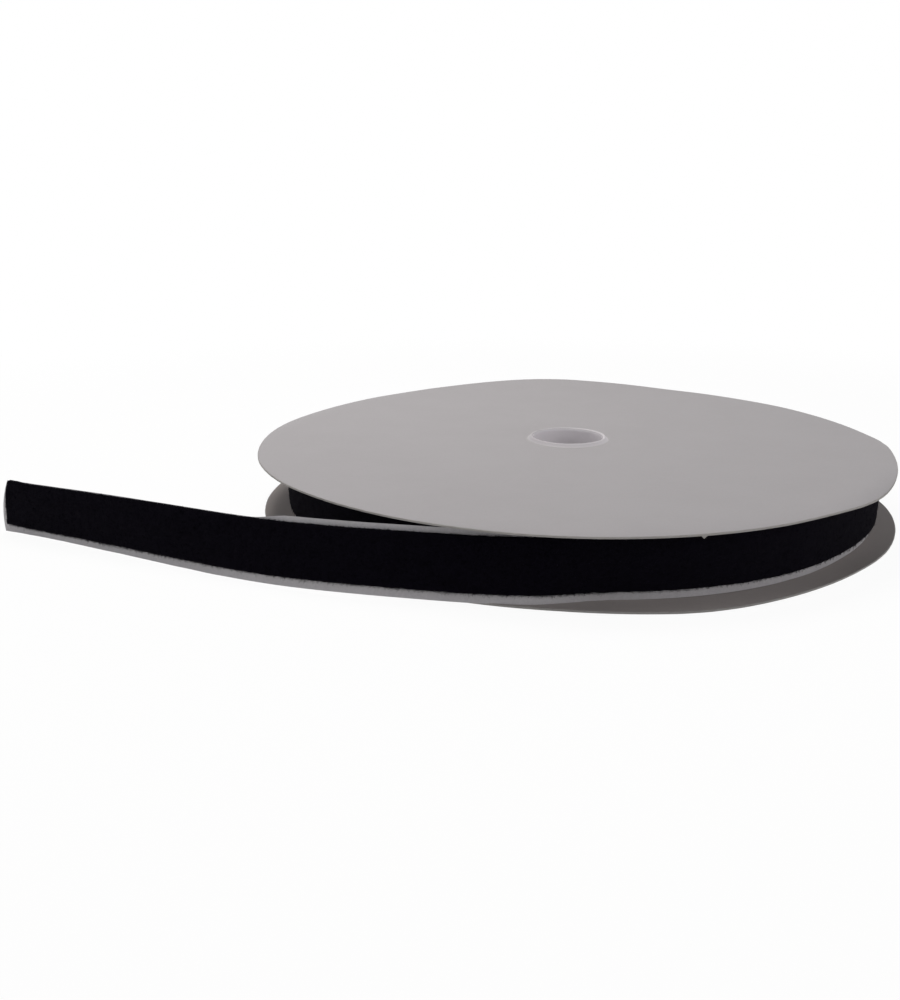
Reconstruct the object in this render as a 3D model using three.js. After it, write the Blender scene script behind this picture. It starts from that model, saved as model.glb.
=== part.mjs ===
// Roll of self-adhesive loop tape on a flanged spool, lying flat with its free end drawn out.
// Millimetres, +Z up. The origin is on the spool's axis, on the table that the spool stands on.

import * as THREE from 'three';

// Tape and release liner
const TAPE_WIDTH = 20;
const TAPE_THICKNESS = 1.4;
const ADHESIVE_THICKNESS = 0.2; // left free here for the sticky coat on the tape's back
const LINER_THICKNESS = 0.16;
const LINER_LOWER_MARGIN = 3.4; // bare liner below the tape
const LINER_UPPER_MARGIN = 2.6; // bare liner above the tape

// Wound roll
const ROLL_RADIUS = 131; // to the pile, where the free end leaves
const ROLL_OFFSET = 2.4; // the roll is wound a little looser towards +X
const TURN_CLEARANCE = 0.3; // from a turn's liner to the pile of the turn under it

// Spool
const FLANGE_DIAMETER = 280;
const FLANGE_THICKNESS = 0.8;
const CORE_WALL = 4.7;
const BORE_DIAMETER = 31.3;
const SPIGOT_WALL = 1.6;
const SPIGOT_LEAD = 0.6; // chamfer on the spigot's inner end
const COLLAR_LIP = 1.95; // how far the collar reaches past its spigot
const COLLAR_HEIGHT = 1;
const COLLAR_ROUND = 0.85;
const SPIGOT_GAP = 0.6; // between the two spigots, at half height

// Clearances
const EDGE_CLEARANCE = 0.2; // liner edges and core to the flanges
const SEAT_CLEARANCE = 0.2; // collar to flange
const FIT_CLEARANCE = 0.3; // round fits, on the radius
const BEND_CLEARANCE = 0.3; // between two lengths of one strip where it bends

// Free end of the tape, from where it leaves the roll
const LEAVING_ANGLE = THREE.MathUtils.degToRad(-83); // around the roll, from +X
const TAIL_BEND_RADIUS = 290; // in plan, back towards the roll
const TAIL_BEND_ANGLE = THREE.MathUtils.degToRad(24.8);
const TAIL_LENGTH = 261;
const BACK_LEAN = THREE.MathUtils.degToRad(14.6); // past the roll, lower edge outwards
const BACK_LEAN_FULL = 36; // lengths between which it leans that far
const BACK_LEAN_KEPT = 118;
const END_LEAN = THREE.MathUtils.degToRad(5.7); // of the cut end, upper edge outwards
const SETTLE_START = 66; // lengths between which the lower edge sinks to the table
const SETTLE_END = 155;
const TABLE_CLEARANCE = 0.4; // from the liner's lower edge to the table
const CUT_SLANT = 8; // how much shorter the liner's upper edge is than its lower one
const CUT_SLANT_LENGTH = 32;
const TAB_LENGTH = 45; // length of liner that peels off the cut end

// Fineness of the facets
const ROUND_STEPS = 96;
const HUB_STEPS = 64;
const CORNER_STEPS = 3;
const TAIL_STEP_LENGTH = 3;
const CORNERS = 4; // of a strip's section

// Sizes worked out from the ones above
const LINER_WIDTH = LINER_LOWER_MARGIN + TAPE_WIDTH + LINER_UPPER_MARGIN;
const LINER_DEPTH = TAPE_THICKNESS + ADHESIVE_THICKNESS; // of the liner's front, below the pile
const WIND_PITCH = LINER_DEPTH + LINER_THICKNESS + TURN_CLEARANCE;
const BORE_RADIUS = BORE_DIAMETER / 2;
const SPIGOT_RADIUS = BORE_RADIUS + SPIGOT_WALL;
const HOLE_RADIUS = SPIGOT_RADIUS + FIT_CLEARANCE; // in the flanges and the core
const CORE_RADIUS = HOLE_RADIUS + CORE_WALL;

// Heights, from the table up
const LOWER_FLANGE_BASE = COLLAR_HEIGHT + SEAT_CLEARANCE;
const LINER_BASE = LOWER_FLANGE_BASE + FLANGE_THICKNESS + EDGE_CLEARANCE;
const TAPE_BASE = LINER_BASE + LINER_LOWER_MARGIN;
const UPPER_FLANGE_BASE = LINER_BASE + LINER_WIDTH + EDGE_CLEARANCE;
const SPOOL_HEIGHT = UPPER_FLANGE_BASE + FLANGE_THICKNESS + SEAT_CLEARANCE + COLLAR_HEIGHT;
const MID_HEIGHT = LINER_BASE + LINER_WIDTH / 2;

// The two strips: how deep each lies below the pile, and how high it spans from the middle of the liner
const TAPE_STRIP = {
  front: 0,
  back: TAPE_THICKNESS,
  low: TAPE_BASE - MID_HEIGHT,
  high: TAPE_BASE + TAPE_WIDTH - MID_HEIGHT,
};
const LINER_STRIP = {
  front: LINER_DEPTH,
  back: LINER_DEPTH + LINER_THICKNESS,
  low: -LINER_WIDTH / 2,
  high: LINER_WIDTH / 2,
};

function named(name, geometry, finish) {
  const material = new THREE.MeshStandardMaterial({ ...finish, metalness: 0 });
  const mesh = new THREE.Mesh(geometry, material);
  mesh.name = name;
  return mesh;
}

// A ring about Z from an outline of (radius, height) points that runs round anticlockwise.
function turned(outline, steps) {
  const closed = [...outline, outline[0]];
  return new THREE.LatheGeometry(closed, steps).rotateX(Math.PI / 2);
}

function plainRing(innerRadius, outerRadius, height, steps) {
  const outline = [
    new THREE.Vector2(innerRadius, 0),
    new THREE.Vector2(outerRadius, 0),
    new THREE.Vector2(outerRadius, height),
    new THREE.Vector2(innerRadius, height),
  ];
  return turned(outline, steps);
}

// Points of a quarter round from one angle to the next quarter, anticlockwise.
function quarterRound(centreRadius, centreHeight, radius, startAngle) {
  const corner = new THREE.EllipseCurve(
    centreRadius, centreHeight, radius, radius, startAngle, startAngle + Math.PI / 2,
  );
  return corner.getPoints(CORNER_STEPS);
}

// Collar below, with both edges rounded, and a spigot that reaches up into the core.
function hubBush() {
  const collarRadius = SPIGOT_RADIUS + COLLAR_LIP;
  const spigotEnd = (SPOOL_HEIGHT - SPIGOT_GAP) / 2;
  const outline = [
    ...quarterRound(BORE_RADIUS + COLLAR_ROUND, COLLAR_ROUND, COLLAR_ROUND, Math.PI),
    ...quarterRound(collarRadius - COLLAR_ROUND, COLLAR_ROUND, COLLAR_ROUND, -Math.PI / 2),
    new THREE.Vector2(collarRadius, COLLAR_HEIGHT),
    new THREE.Vector2(SPIGOT_RADIUS, COLLAR_HEIGHT),
    new THREE.Vector2(SPIGOT_RADIUS, spigotEnd - SPIGOT_LEAD),
    new THREE.Vector2(SPIGOT_RADIUS - SPIGOT_LEAD, spigotEnd),
    new THREE.Vector2(BORE_RADIUS, spigotEnd),
  ];
  return turned(outline, HUB_STEPS);
}

// Radius of the pile after some turns in from where the free end leaves the roll.
function pileRadius(turns) {
  return ROLL_RADIUS - WIND_PITCH * turns;
}

function aroundRoll(radius, turns, height) {
  const angle = LEAVING_ANGLE + turns * 2 * Math.PI;
  return new THREE.Vector3(
    ROLL_OFFSET + radius * Math.cos(angle),
    radius * Math.sin(angle),
    height,
  );
}

// The turns under the outer one, as one solid whose outline is a spiral with its step under the free end.
function woundPack() {
  const outline = [];
  for (let step = 0; step <= ROUND_STEPS; step += 1) {
    const turns = step / ROUND_STEPS;
    const point = aroundRoll(pileRadius(1 + turns), turns, 0);
    outline.push(new THREE.Vector2(point.x, point.y));
  }
  const shape = new THREE.Shape(outline);
  const hole = new THREE.Path();
  hole.absarc(0, 0, CORE_RADIUS + FIT_CLEARANCE, 0, 2 * Math.PI, true);
  shape.holes.push(hole);
  const settings = { depth: TAPE_WIDTH, bevelEnabled: false, curveSegments: HUB_STEPS };
  return new THREE.ExtrudeGeometry(shape, settings);
}

// A closed strip through sections of four corners, each anticlockwise seen from the strip's far end.
function strip(sections) {
  const positions = [];
  const faces = [];
  const last = (sections.length - 1) * CORNERS;
  for (const section of sections) {
    for (const corner of section) positions.push(corner.x, corner.y, corner.z);
  }
  for (let base = 0; base < last; base += CORNERS) {
    for (let side = 0; side < CORNERS; side += 1) {
      const here = base + side;
      const next = base + ((side + 1) % CORNERS);
      faces.push(here, next, next + CORNERS, here, next + CORNERS, here + CORNERS);
    }
  }
  faces.push(0, 2, 1, 0, 3, 2);
  faces.push(last, last + 1, last + 2, last, last + 2, last + 3);
  const geometry = new THREE.BufferGeometry();
  geometry.setAttribute('position', new THREE.Float32BufferAttribute(positions, 3));
  geometry.setIndex(faces);
  geometry.computeVertexNormals();
  return geometry;
}

// The outer turn of a strip, one whole turn less the clearance at each end.
function outerTurnSections({ front, back, low, high }) {
  const endTurns = BEND_CLEARANCE / (2 * Math.PI * ROLL_RADIUS);
  const sections = [];
  for (let step = 0; step <= ROUND_STEPS; step += 1) {
    const turns = THREE.MathUtils.lerp(endTurns, 1 - endTurns, step / ROUND_STEPS);
    const pile = pileRadius(turns);
    sections.push([
      aroundRoll(pile - back, turns, MID_HEIGHT + low),
      aroundRoll(pile - back, turns, MID_HEIGHT + high),
      aroundRoll(pile - front, turns, MID_HEIGHT + high),
      aroundRoll(pile - front, turns, MID_HEIGHT + low),
    ]);
  }
  return sections;
}

// Least gap between stretches of a wound strip that lie half a turn or more apart along it.
function leastGapToItself(sections, thickness) {
  const middles = sections.map((corners) => {
    const sum = corners.reduce((total, corner) => total.add(corner), new THREE.Vector3());
    return sum.divideScalar(corners.length);
  });
  let least = Infinity;
  middles.forEach((middle, index) => {
    for (const other of middles.slice(index + ROUND_STEPS / 2)) {
      least = Math.min(least, middle.distanceTo(other) - thickness);
    }
  });
  return least;
}

// Where the free end's upper edge runs in plan: +X as it leaves the roll, +Y out from the roll.
function tailPlan(length) {
  const bendLength = TAIL_BEND_RADIUS * TAIL_BEND_ANGLE;
  const turn = Math.min(length, bendLength) / TAIL_BEND_RADIUS;
  const along = new THREE.Vector3(Math.cos(turn), -Math.sin(turn), 0);
  const outward = new THREE.Vector3(Math.sin(turn), Math.cos(turn), 0);
  const point = new THREE.Vector3(
    TAIL_BEND_RADIUS * Math.sin(turn),
    TAIL_BEND_RADIUS * (Math.cos(turn) - 1),
    0,
  );
  return { point: point.addScaledVector(along, Math.max(length - bendLength, 0)), along, outward };
}

// How far the free end leans at a length along it: back past the roll, then forwards to its cut end.
function tailLean(length) {
  const back = THREE.MathUtils.smoothstep(length, 0, BACK_LEAN_FULL);
  const forwards = THREE.MathUtils.smoothstep(length, BACK_LEAN_KEPT, TAIL_LENGTH);
  return (BACK_LEAN + END_LEAN) * forwards - BACK_LEAN * back;
}

// The free end's own directions at a length along it, and the liner's lower back corner that it stands on.
function tailFrame(length) {
  const { point, along, outward } = tailPlan(length);
  const lean = tailLean(length);
  const vertical = new THREE.Vector3(0, 0, 1);
  const up = vertical.clone().multiplyScalar(Math.cos(lean)).addScaledVector(outward, Math.sin(lean));
  const face = outward.clone().multiplyScalar(Math.cos(lean)).addScaledVector(vertical, -Math.sin(lean));
  const settled = THREE.MathUtils.smoothstep(length, SETTLE_START, SETTLE_END);
  point.addScaledVector(outward, -LINER_STRIP.back - LINER_WIDTH * Math.sin(lean));
  point.z = THREE.MathUtils.lerp(LINER_BASE, TABLE_CLEARANCE, settled);
  return { point, along, up, face };
}

// A point of the free end: height is from the liner's middle, depth is below the pile.
function tailPoint(length, height, depth) {
  const { point, along, up, face } = tailFrame(length);
  const cutting = Math.max(length - (TAIL_LENGTH - CUT_SLANT_LENGTH), 0) / CUT_SLANT_LENGTH;
  const raised = height - LINER_STRIP.low;
  point.addScaledVector(along, -CUT_SLANT * cutting * (raised / LINER_WIDTH));
  return point.addScaledVector(up, raised).addScaledVector(face, LINER_STRIP.back - depth);
}

// A length of the free end. Tape and liner bend at the same steps, so that they stay apart where it twists.
function tailStrip({ front, back, low, high }, start, end) {
  const lengths = [start];
  let step = Math.floor(start / TAIL_STEP_LENGTH) + 1;
  while (step * TAIL_STEP_LENGTH < end) {
    lengths.push(step * TAIL_STEP_LENGTH);
    step += 1;
  }
  lengths.push(end);
  const sections = lengths.map((length) => [
    tailPoint(length, low, back),
    tailPoint(length, low, front),
    tailPoint(length, high, front),
    tailPoint(length, high, back),
  ]);
  return strip(sections);
}

const FLANGE_CARD = { color: 0xacaaa8, roughness: 0.7 };
const HUB_PLASTIC = { color: 0xb9b4b7, roughness: 0.4 };
const CORE_BOARD = { color: 0xa8977c, roughness: 0.85 };
const LOOP_PILE = { color: 0x0a0710, roughness: 0.95 };
const LINER_PAPER = { color: 0xa8a5a7, roughness: 0.5 };

// Spool: two flanges held on a core tube by two alike bushes, with the wound tape between them.
const spool = new THREE.Group();
const flangeShape = plainRing(HOLE_RADIUS, FLANGE_DIAMETER / 2, FLANGE_THICKNESS, ROUND_STEPS);
const lowerFlange = named('lower_flange', flangeShape, FLANGE_CARD);
lowerFlange.position.z = LOWER_FLANGE_BASE;
const upperFlange = named('upper_flange', flangeShape, FLANGE_CARD);
upperFlange.position.z = UPPER_FLANGE_BASE;

const coreShape = plainRing(HOLE_RADIUS, CORE_RADIUS, LINER_WIDTH, HUB_STEPS);
const coreTube = named('core_tube', coreShape, CORE_BOARD);
coreTube.position.z = LINER_BASE;

const lowerBush = named('lower_hub_bush', hubBush(), HUB_PLASTIC);
const upperBush = named('upper_hub_bush', hubBush(), HUB_PLASTIC);
upperBush.rotation.x = Math.PI;
upperBush.position.z = SPOOL_HEIGHT;

const tapePack = named('tape_pack', woundPack(), LOOP_PILE);
tapePack.position.z = TAPE_BASE;

const tapeTurn = outerTurnSections(TAPE_STRIP);
const linerTurn = outerTurnSections(LINER_STRIP);
const tapeGap = leastGapToItself(tapeTurn, TAPE_THICKNESS);
const linerGap = leastGapToItself(linerTurn, LINER_THICKNESS);
console.log(`least gap of the wound tape to itself ${tapeGap.toFixed(2)} mm`);
console.log(`least gap of the wound liner to itself ${linerGap.toFixed(2)} mm`);
const loopTapeOuterTurn = named('loop_tape_outer_turn', strip(tapeTurn), LOOP_PILE);
const linerOuterTurn = named('liner_outer_turn', strip(linerTurn), LINER_PAPER);
spool.add(lowerFlange, upperFlange, coreTube, lowerBush, upperBush);
spool.add(tapePack, loopTapeOuterTurn, linerOuterTurn);

// Free end: it swings out from the roll about the upright line on its pile where it leaves.
const tail = new THREE.Group();
tail.position.copy(aroundRoll(ROLL_RADIUS, 0, 0));
tail.rotation.z = LEAVING_ANGLE - Math.PI / 2;
tail.userData.swingAxis = new THREE.Vector3(0, 0, 1);

// The liner peels off the cut end, about the line on its back where the peeled length begins.
const peelStart = TAIL_LENGTH - TAB_LENGTH;
const loopTapeTail = named('loop_tape_tail', tailStrip(TAPE_STRIP, 0, TAIL_LENGTH), LOOP_PILE);
const heldLiner = tailStrip(LINER_STRIP, 0, peelStart - BEND_CLEARANCE);
const linerTail = named('liner_tail', heldLiner, LINER_PAPER);
const linerTab = named('liner_tab', tailStrip(LINER_STRIP, peelStart, TAIL_LENGTH), LINER_PAPER);
linerTab.userData.peelPoint = tailPoint(peelStart, 0, LINER_STRIP.back);
linerTab.userData.peelAxis = tailFrame(peelStart).up.negate();
tail.add(loopTapeTail, linerTail, linerTab);

const tapeRoll = new THREE.Group();
tapeRoll.add(spool, tail);

export default tapeRoll;
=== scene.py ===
import math

import bpy
import numpy as np
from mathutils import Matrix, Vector


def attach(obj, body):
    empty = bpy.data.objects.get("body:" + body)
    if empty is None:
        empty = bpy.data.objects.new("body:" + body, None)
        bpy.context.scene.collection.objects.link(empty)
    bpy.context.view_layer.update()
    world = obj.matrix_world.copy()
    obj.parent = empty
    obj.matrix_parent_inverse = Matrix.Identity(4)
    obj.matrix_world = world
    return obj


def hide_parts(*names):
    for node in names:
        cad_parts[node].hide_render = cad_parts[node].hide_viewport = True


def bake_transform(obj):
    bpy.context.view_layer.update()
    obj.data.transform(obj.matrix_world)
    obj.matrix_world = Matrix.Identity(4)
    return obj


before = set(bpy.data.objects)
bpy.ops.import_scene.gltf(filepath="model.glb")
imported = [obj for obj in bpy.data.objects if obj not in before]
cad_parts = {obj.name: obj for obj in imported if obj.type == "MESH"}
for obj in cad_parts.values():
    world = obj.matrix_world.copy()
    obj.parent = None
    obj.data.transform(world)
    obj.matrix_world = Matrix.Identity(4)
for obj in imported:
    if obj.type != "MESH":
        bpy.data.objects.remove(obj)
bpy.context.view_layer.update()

# Sizes of the part's source, in millimetres and degrees
TAPE_WIDTH = 20.0
TAPE_THICKNESS = 1.4
ADHESIVE_THICKNESS = 0.2
LINER_THICKNESS = 0.16
LINER_LOWER_MARGIN = 3.4
LINER_UPPER_MARGIN = 2.6
ROLL_RADIUS = 131.0
ROLL_OFFSET = 2.4
TURN_CLEARANCE = 0.3
FLANGE_RADIUS = 140.0
FLANGE_THICKNESS = 0.8
CORE_WALL = 4.7
BORE_RADIUS = 15.65
SPIGOT_WALL = 1.6
SPIGOT_LEAD = 0.6
COLLAR_LIP = 1.95
COLLAR_HEIGHT = 1.0
SPIGOT_GAP = 0.6
EDGE_CLEARANCE = 0.2
SEAT_CLEARANCE = 0.2
FIT_CLEARANCE = 0.3
LEAVING_ANGLE = math.radians(-83)
TAIL_BEND_RADIUS = 290.0
TAIL_BEND_ANGLE = math.radians(24.8)
TAIL_LENGTH = 261.0
BACK_LEAN = math.radians(14.6)
BACK_LEAN_FULL = 36.0
BACK_LEAN_KEPT = 118.0
END_LEAN = math.radians(5.7)
SETTLE_START = 66.0
SETTLE_END = 155.0
TABLE_CLEARANCE = 0.4
CUT_SLANT = 8.0
CUT_SLANT_LENGTH = 32.0
TAB_LENGTH = 45.0

# The cut end as the scissors left it: how far the tape and the liner bow out past a straight cut, at half
# height and more towards the top, how far the liner reaches past the tape, and how far the tape's end rides
# up on the liner
TAPE_BOW = (1.2, 1.7)
LINER_BOW = (2.1, 0.1)
LINER_OVERHANG = 2.0
TAPE_ASKEW = 0.55
ASKEW_LENGTH = 18.0

# Sizes worked out from the ones above
MM = 0.001
LINER_WIDTH = LINER_LOWER_MARGIN + TAPE_WIDTH + LINER_UPPER_MARGIN
LINER_DEPTH = TAPE_THICKNESS + ADHESIVE_THICKNESS
LINER_BACK = LINER_DEPTH + LINER_THICKNESS
WIND_PITCH = LINER_BACK + TURN_CLEARANCE
SPIGOT_RADIUS = BORE_RADIUS + SPIGOT_WALL
HOLE_RADIUS = SPIGOT_RADIUS + FIT_CLEARANCE
COLLAR_RADIUS = SPIGOT_RADIUS + COLLAR_LIP
CORE_RADIUS = HOLE_RADIUS + CORE_WALL
LOWER_FLANGE_BASE = COLLAR_HEIGHT + SEAT_CLEARANCE
LINER_BASE = LOWER_FLANGE_BASE + FLANGE_THICKNESS + EDGE_CLEARANCE
UPPER_FLANGE_BASE = LINER_BASE + LINER_WIDTH + EDGE_CLEARANCE
SPOOL_HEIGHT = UPPER_FLANGE_BASE + FLANGE_THICKNESS + SEAT_CLEARANCE + COLLAR_HEIGHT
MID_HEIGHT = LINER_BASE + LINER_WIDTH / 2
TAPE_LOW = LINER_LOWER_MARGIN - LINER_WIDTH / 2
TAPE_HIGH = TAPE_LOW + TAPE_WIDTH
TURN_LENGTH = 2 * math.pi * ROLL_RADIUS
PEEL_START = TAIL_LENGTH - TAB_LENGTH
WOUND_TURNS = (ROLL_RADIUS - LINER_BACK - CORE_RADIUS - FIT_CLEARANCE) / WIND_PITCH


# Camera at the photograph's viewpoint, for a picture of 900 by 1000
CAMERA_PLACE = Vector((-4.94, -469.2, 137.9)) * MM
CAMERA_YAW = math.radians(-6.0)
CAMERA_PITCH = math.radians(-16.488)
CAMERA_LENS = 37.55
CAMERA_SENSOR = 36.0
CAMERA_NEAR, CAMERA_FAR = 0.01, 60.0


def make_camera():
    data = bpy.data.cameras.new("camera")
    data.lens = CAMERA_LENS
    data.sensor_width = CAMERA_SENSOR
    data.clip_start = CAMERA_NEAR
    data.clip_end = CAMERA_FAR
    camera = bpy.data.objects.new("camera", data)
    bpy.context.scene.collection.objects.link(camera)
    camera.location = CAMERA_PLACE
    camera.rotation_euler = (math.pi / 2 + CAMERA_PITCH, 0, -CAMERA_YAW)
    bpy.context.scene.camera = camera


make_camera()


# Bumps round the spool are each an amount in millimetres and their middle and width in degrees
OUT_OF_ROUND = ((2.0, 0, 22), (-0.9, -36, 14))


def bumps(angle, shapes):
    total = 0
    for amount, centre, width in shapes:
        away = np.angle(np.exp(1j * (angle - math.radians(centre))))
        total = total + amount * np.exp(-(away / math.radians(width)) ** 2)
    return total


# Where the strips run. Along is 0 where the free end leaves the roll, positive out along the free end and
# negative back into the roll. Height is from the liner's middle and depth is below the pile.
def roll_point(along, height, depth):
    turns = -along / TURN_LENGTH
    inner = np.clip((turns - 1) / (WOUND_TURNS - 1), 0, 1)
    angle = LEAVING_ANGLE + turns * 2 * math.pi
    radius = ROLL_RADIUS - WIND_PITCH * turns - depth + (1 - inner) * bumps(angle, OUT_OF_ROUND)
    x = ROLL_OFFSET * (1 - inner) + radius * np.cos(angle)
    return np.stack([x, radius * np.sin(angle), MID_HEIGHT + height], axis=-1)


def smooth_step(value, start, end):
    share = np.clip((value - start) / (end - start), 0, 1)
    return share * share * (3 - 2 * share)


def tail_point(along, height, depth, bow):
    """Points of the free end, which bends, runs on straight, leans as it goes and settles on the table."""
    bend_length = TAIL_BEND_RADIUS * TAIL_BEND_ANGLE
    turn = np.minimum(along, bend_length) / TAIL_BEND_RADIUS
    past = np.maximum(along - bend_length, 0)
    zero, one = np.zeros_like(along), np.ones_like(along)
    ahead = np.stack([np.cos(turn), -np.sin(turn), zero], axis=-1)
    outward = np.stack([np.sin(turn), np.cos(turn), zero], axis=-1)
    upright = np.stack([zero, zero, one], axis=-1)
    forwards = smooth_step(along, BACK_LEAN_KEPT, TAIL_LENGTH)
    lean = (BACK_LEAN + END_LEAN) * forwards - BACK_LEAN * smooth_step(along, 0, BACK_LEAN_FULL)
    cos_lean, sin_lean = np.cos(lean)[..., None], np.sin(lean)[..., None]
    up = upright * cos_lean + outward * sin_lean
    face = outward * cos_lean - upright * sin_lean
    settled = smooth_step(along, SETTLE_START, SETTLE_END)
    point = np.stack([
        TAIL_BEND_RADIUS * np.sin(turn),
        TAIL_BEND_RADIUS * (np.cos(turn) - 1),
        LINER_BASE + (TABLE_CLEARANCE - LINER_BASE) * settled,
    ], axis=-1)
    raised = height + LINER_WIDTH / 2
    share = raised / LINER_WIDTH
    cutting = np.maximum(along - TAIL_LENGTH + CUT_SLANT_LENGTH, 0) / CUT_SLANT_LENGTH
    bowed = bow[0] + bow[1] * (2 * share - 1)
    cut = cutting * (4 * bowed * share * (1 - share) - CUT_SLANT * share)
    point = point + ahead * (past + cut)[..., None]
    point = point - outward * (LINER_BACK + LINER_WIDTH * sin_lean)
    point = point + up * raised[..., None] + face * (LINER_BACK - depth)[..., None]
    angle = LEAVING_ANGLE - math.pi / 2
    cos, sin = math.cos(angle), math.sin(angle)
    root = roll_point(np.zeros(1), np.zeros(1), np.zeros(1))[0]
    x, y = point[..., 0], point[..., 1]
    return np.stack([root[0] + cos * x - sin * y, root[1] + sin * x + cos * y, point[..., 2]], axis=-1)


def strip_point(along, height, depth, bow=TAPE_BOW):
    along, height, depth = np.broadcast_arrays(*[np.asarray(v, float) for v in (along, height, depth)])
    on_roll = roll_point(np.minimum(along, 0), height, depth)
    on_tail = tail_point(np.maximum(along, 0), height, depth, bow)
    return np.where((along < 0)[..., None], on_roll, on_tail)


def askew(along):
    return TAPE_ASKEW * smooth_step(along, TAIL_LENGTH - ASKEW_LENGTH, TAIL_LENGTH)


# Smooth noise from a hashed lattice, the same at each run, from -1 to 1
HASH_X, HASH_Y, HASH_SEED, HASH_MIX = 374761393, 668265263, 982451653, 1274126177
HASH_WORD, HASH_KEPT = 0xFFFFFFFF, 0xFFFF
FIRST_SHIFT, LAST_SHIFT = 13, 16


def lattice(x, y, seed):
    word = np.uint64(HASH_WORD)
    column = x.astype(np.int64).astype(np.uint64) * np.uint64(HASH_X) & word
    row = y.astype(np.int64).astype(np.uint64) * np.uint64(HASH_Y)
    value = (column + row + np.uint64(seed * HASH_SEED)) & word
    value = ((value ^ (value >> np.uint64(FIRST_SHIFT))) * np.uint64(HASH_MIX)) & word
    value = value ^ (value >> np.uint64(LAST_SHIFT))
    return (value & np.uint64(HASH_KEPT)).astype(float) / (HASH_KEPT / 2) - 1


def noise(x, y, cell, seed):
    x, y = np.broadcast_arrays(np.asarray(x, float) / cell, np.asarray(y, float) / cell)
    x0, y0 = np.floor(x), np.floor(y)
    u, v = smooth_step(x - x0, 0, 1), smooth_step(y - y0, 0, 1)
    low = lattice(x0, y0, seed) * (1 - u) + lattice(x0 + 1, y0, seed) * u
    high = lattice(x0, y0 + 1, seed) * (1 - u) + lattice(x0 + 1, y0 + 1, seed) * u
    return low * (1 - v) + high * v


def layered(x, y, layers):
    """Layers of noise, each an amount, the size of its cells in millimetres and a seed."""
    return sum(amount * noise(x, y, cell, seed) for amount, cell, seed in layers)


# Materials
STRIP = "strip_mm"
# The sockets of a Mix node that are in use when it mixes colours
MIX_INPUTS = (0, 6, 7)
MIX_OUTPUT = 2


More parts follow.
